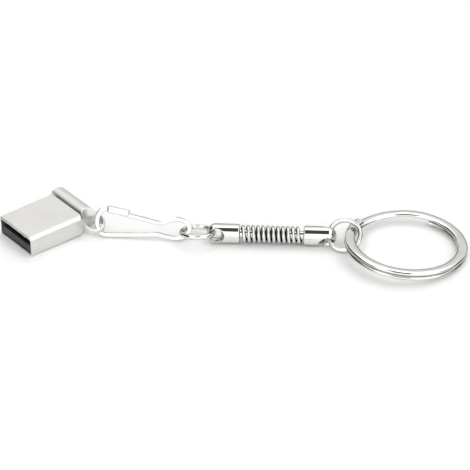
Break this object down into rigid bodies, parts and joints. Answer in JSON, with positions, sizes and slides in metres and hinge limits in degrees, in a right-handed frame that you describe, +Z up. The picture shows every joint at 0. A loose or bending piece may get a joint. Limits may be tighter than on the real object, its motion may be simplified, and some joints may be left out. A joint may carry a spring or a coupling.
{
  "type": "usb flash drive",
  "caption": "Low-profile USB flash drive with a cast lanyard eye, held by a wire snap hook and a short spring link to a split key ring.",
  "frame": {"origin": "centre of the bounding box, on the surface the chain lies on", "axes": "+X from the drive's mouth towards the split ring, +Z up, +Y completes a right-handed frame"},
  "size_m": [0.1028, 0.0334, 0.0064],
  "materials": {
    "alloy_housing": "satin pearl-nickel plating on a zinc alloy casting",
    "carrier_tray": "matt black moulded plastic",
    "module_substrate": "green solder mask on laminate",
    "module_moulding": "black epoxy moulding",
    "snap_hook_frame": "bright nickel-plated spring wire",
    "snap_hook_gate": "bright nickel-plated spring wire",
    "hook_jump_ring": "polished nickel-plated round wire",
    "end_cap_hook_side": "nickel-plated turned cap",
    "spring_link": "nickel-plated coiled spring wire",
    "end_cap_ring_side": "nickel-plated turned cap",
    "key_jump_ring": "polished nickel-plated round wire",
    "key_ring": "polished nickel-plated flattened wire",
    "contact_power": "gold-plated contact",
    "contact_data_minus": "gold-plated contact",
    "contact_data_plus": "gold-plated contact",
    "contact_ground": "gold-plated contact",
    "flash_memory_die": "bare silicon",
    "controller_die": "bare silicon",
    "clock_crystal": "plated metal can",
    "decoupling_capacitor": "fired ceramic",
    "pullup_resistor": "fired ceramic with black coat",
    "rear_adhesive": "set epoxy adhesive"
  },
  "bodies": {
    "drive": {"alloy_housing": "alloy_housing", "carrier_tray": "carrier_tray", "module_substrate": "module_substrate", "module_moulding": "module_moulding", "contact_power": "contact_power", "contact_data_minus": "contact_data_minus", "contact_data_plus": "contact_data_plus", "contact_ground": "contact_ground", "flash_memory_die": "flash_memory_die", "controller_die": "controller_die", "clock_crystal": "clock_crystal", "decoupling_capacitor": "decoupling_capacitor", "pullup_resistor": "pullup_resistor", "rear_adhesive": "rear_adhesive"},
    "hook": {"snap_hook_frame": "snap_hook_frame"},
    "gate": {"snap_hook_gate": "snap_hook_gate"},
    "hook_ring": {"hook_jump_ring": "hook_jump_ring"},
    "link_near": {"end_cap_hook_side": "end_cap_hook_side", "spring_link": "spring_link"},
    "link_far": {"end_cap_ring_side": "end_cap_ring_side"},
    "key_jump": {"key_jump_ring": "key_jump_ring"},
    "keys": {"key_ring": "key_ring"}
  },
  "joints": [
    {"name": "hook_swing", "type": "hinge", "parent": "drive", "child": "hook", "pos_m": [-0.03087, 0.00413, 0.00262], "axis": [-0.0171, -0.0134, 0.9998], "range_deg": [-75, 15]},
    {"name": "gate_hinge", "type": "hinge", "parent": "hook", "child": "gate", "pos_m": [-0.01613, 0.00343, 0.00332], "axis": [-0.0864, -0.815, 0.573], "range_deg": [0, 18], "stiffness_Nm_per_rad": 0.02},
    {"name": "hook_ring_swing", "type": "hinge", "parent": "hook", "child": "hook_ring", "pos_m": [-0.0113, 0.00125, 0.0023], "axis": [0, 0, 1], "range_deg": [-12, 45]},
    {"name": "link_lift", "type": "hinge", "parent": "hook_ring", "child": "link_near", "pos_m": [-0.00435, 0.00125, 0.0023], "axis": [0, -0.9743, 0.2251], "range_deg": [0, 35]},
    {"name": "link_bend", "type": "hinge", "parent": "link_near", "child": "link_far", "pos_m": [0.0085, 0.00033, 0.00225], "axis": [0, 0, 1], "range_deg": [-35, 35], "stiffness_Nm_per_rad": 0.03, "deforming": ["spring_link"]},
    {"name": "key_jump_tilt", "type": "hinge", "parent": "link_far", "child": "key_jump", "pos_m": [0.02109, -0.00036, 0.00232], "axis": [0, -0.7778, -0.6285], "range_deg": [0, 30]},
    {"name": "key_ring_turn", "type": "hinge", "parent": "key_jump", "child": "keys", "pos_m": [0.02451, -0.00074, 0.00279], "axis": [-0.173, -0.619, 0.7661], "range_deg": [-5, 50]}
  ]
}
